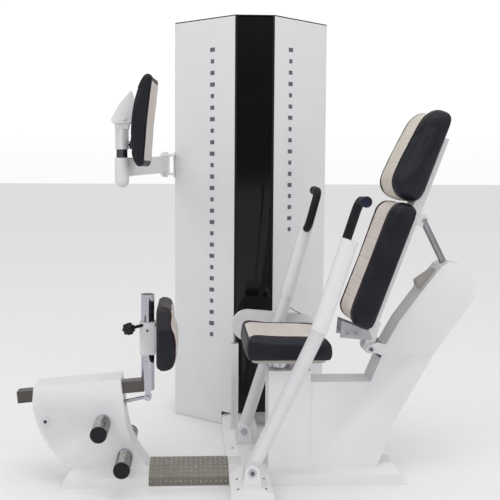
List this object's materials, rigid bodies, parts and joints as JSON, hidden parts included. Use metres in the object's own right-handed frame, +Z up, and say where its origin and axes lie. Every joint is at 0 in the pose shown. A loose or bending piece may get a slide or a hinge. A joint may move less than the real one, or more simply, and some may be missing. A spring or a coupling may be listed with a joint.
{
  "type": "two-station weight-stack machine",
  "caption": "Weight-stack gym machine with a seated press station, a standing pad station, swinging press arms and adjustable cushions",
  "frame": {"origin": "on the floor where the main rail and the cross beam cross, on the underside of the plate there", "axes": "+X along the main rail towards the seated station, +Y from the user side towards the tower, +Z up"},
  "size_m": [1.7189, 1.301, 1.862],
  "materials": {
    "white_paint": "gloss",
    "rubber": "matte",
    "tread": "embossed",
    "smoked_pane": "gloss",
    "black_trim": "satin",
    "grey_steel": "satin",
    "chrome": "polished",
    "cast_iron": "matte",
    "board": "painted",
    "beige_plastic": "satin",
    "upholstery": "satin"
  },
  "bodies": {
    "stand": {"main_rail": "white_paint", "cross_beam": "white_paint", "floor_pads": "rubber", "tread_plate": "tread", "tower_left_panel": "white_paint", "tower_right_panel": "white_paint", "tower_window": "smoked_pane", "tower_trims": "black_trim", "tower_base": "white_paint", "cross_head": "grey_steel", "guide_rods": "chrome", "stack_bumpers": "rubber", "weight_plates": "cast_iron", "pulley_axles": "chrome", "lift_cable": "grey_steel", "stack_cable": "grey_steel", "pulley_guard": "white_paint", "cable_channel": "white_paint", "arm_brackets": "white_paint", "pivot_bolts": "chrome", "seat_shell": "white_paint", "seat_column": "white_paint", "latch_cover": "beige_plastic", "peg_housing": "white_paint", "foot_pegs": "chrome", "chest_hinge": "white_paint"},
    "near_arm": {"near_arm_tube": "white_paint", "near_sleeve": "white_paint", "near_grip": "rubber"},
    "far_arm": {"far_arm_tube": "white_paint", "far_sleeve": "white_paint", "far_grip": "rubber"},
    "lift_stack": {"lift_plates": "cast_iron", "selector_stem": "chrome"},
    "pin": {"selector_pin": "chrome"},
    "top_wheel": {"top_pulley": "black_trim"},
    "front_base_wheel": {"front_base_pulley": "black_trim"},
    "rear_base_wheel": {"rear_base_pulley": "black_trim"},
    "guard_big_wheel": {"guard_big_pulley": "black_trim"},
    "guard_small_wheel": {"guard_small_pulley": "black_trim"},
    "seat": {"seat_post": "chrome", "seat_board": "board", "seat_cushion": "upholstery"},
    "backrest": {"backrest_frame": "white_paint", "backrest_bracket": "grey_steel", "backrest_cushion": "upholstery", "headrest_cushion": "upholstery"},
    "strut": {"recline_strut": "grey_steel"},
    "sliding_tube": {"slide_tube": "chrome", "knee_post": "chrome", "link_rod": "chrome"},
    "knee": {"knee_sleeve": "white_paint", "knee_pad": "upholstery"},
    "knee_knob": {"star_knob": "black_trim"},
    "swing_arm": {"chest_arm": "white_paint"},
    "chest_stem": {"chest_post": "chrome", "chest_collar": "white_paint"},
    "collar_knob": {"clamp_knob": "black_trim"},
    "chest_rest": {"chest_bracket": "white_paint", "chest_pad": "upholstery"}
  },
  "joints": [
    {"name": "far_arm_swing", "type": "hinge", "parent": "stand", "child": "far_arm", "pos_m": [0, 0.206, 0.114], "axis": [0, -1, 0], "range_deg": [0, 35]},
    {"name": "near_arm_swing", "type": "hinge", "parent": "stand", "child": "near_arm", "pos_m": [0, -0.206, 0.114], "axis": [0, -1, 0], "range_deg": [0, 35]},
    {"name": "stack_lift", "type": "slide", "parent": "stand", "child": "lift_stack", "axis": [0, 0, 1], "range_m": [0, 0.2905], "deforming": ["stack_cable"]},
    {"name": "pin_pull", "type": "slide", "parent": "lift_stack", "child": "pin", "axis": [0, -1, 0], "range_m": [0, 0.055]},
    {"name": "top_wheel_turn", "type": "hinge", "parent": "stand", "child": "top_wheel", "pos_m": [0.01725, 0.715, 1.706], "axis": [0, -1, 0], "range_deg": [0, 356]},
    {"name": "front_base_wheel_turn", "type": "hinge", "parent": "stand", "child": "front_base_wheel", "pos_m": [-0.0295, 0.386, 0.03], "axis": [-1, 0, 0], "range_deg": [0, 832]},
    {"name": "rear_base_wheel_turn", "type": "hinge", "parent": "stand", "child": "rear_base_wheel", "pos_m": [-0.0295, 0.695, 0.03], "axis": [-1, 0, 0], "range_deg": [0, 832]},
    {"name": "guard_big_wheel_turn", "type": "hinge", "parent": "stand", "child": "guard_big_wheel", "pos_m": [0.025, 0.366, 0.512], "axis": [0, 1, 0], "range_deg": [0, 306]},
    {"name": "guard_small_wheel_turn", "type": "hinge", "parent": "stand", "child": "guard_small_wheel", "pos_m": [0.268, 0.366, 0.52], "axis": [0, -1, 0], "range_deg": [0, 594]},
    {"name": "seat_height", "type": "slide", "parent": "stand", "child": "seat", "axis": [0, 0, 1], "range_m": [0, 0.1]},
    {"name": "back_recline", "type": "hinge", "parent": "stand", "child": "backrest", "pos_m": [0.458, 0, 0.507], "axis": [0, 1, 0], "range_deg": [-2, 4]},
    {"name": "strut_turn", "type": "hinge", "parent": "backrest", "child": "strut", "pos_m": [0.663, 0, 0.988], "axis": [0, 1, 0], "range_deg": [-1.72, 3.43]},
    {"name": "tube_slide", "type": "slide", "parent": "stand", "child": "sliding_tube", "axis": [0.9962, 0, 0.0872], "range_m": [-0.04, 0.05]},
    {"name": "knee_height", "type": "slide", "parent": "sliding_tube", "child": "knee", "axis": [0, 0, 1], "range_m": [-0.08, 0.09]},
    {"name": "knee_knob_turn", "type": "hinge", "parent": "knee", "child": "knee_knob", "pos_m": [-0.38, 0, 0.595], "axis": [-0.5878, -0.809, 0], "continuous": true},
    {"name": "pad_arm_swing", "type": "hinge", "parent": "stand", "child": "swing_arm", "pos_m": [-0.34, 0.7, 1.2], "axis": [0, 0, 1], "range_deg": [-75, 5]},
    {"name": "chest_height", "type": "slide", "parent": "swing_arm", "child": "chest_stem", "axis": [0, 0, 1], "range_m": [0, 0.045]},
    {"name": "collar_knob_turn", "type": "hinge", "parent": "chest_stem", "child": "collar_knob", "pos_m": [-0.474, 0, 1.267], "axis": [1, 0, 0], "continuous": true},
    {"name": "chest_tilt", "type": "hinge", "parent": "chest_stem", "child": "chest_rest", "pos_m": [-0.463, 0, 1.362], "axis": [0, -1, 0], "range_deg": [0, 12]}
  ],
  "couplings": [
    {"joint": "near_arm_swing", "follows": "far_arm_swing", "ratio": 1},
    {"joint": "stack_lift", "follows": "far_arm_swing", "m_per_rad": 0.475},
    {"joint": "top_wheel_turn", "follows": "far_arm_swing", "ratio": 10.16},
    {"joint": "front_base_wheel_turn", "follows": "far_arm_swing", "ratio": 23.75},
    {"joint": "rear_base_wheel_turn", "follows": "far_arm_swing", "ratio": 23.75},
    {"joint": "guard_big_wheel_turn", "follows": "far_arm_swing", "ratio": 8.7156},
    {"joint": "guard_small_wheel_turn", "follows": "far_arm_swing", "ratio": 16.964},
    {"joint": "strut_turn", "follows": "back_recline", "ratio": 0.854}
  ]
}
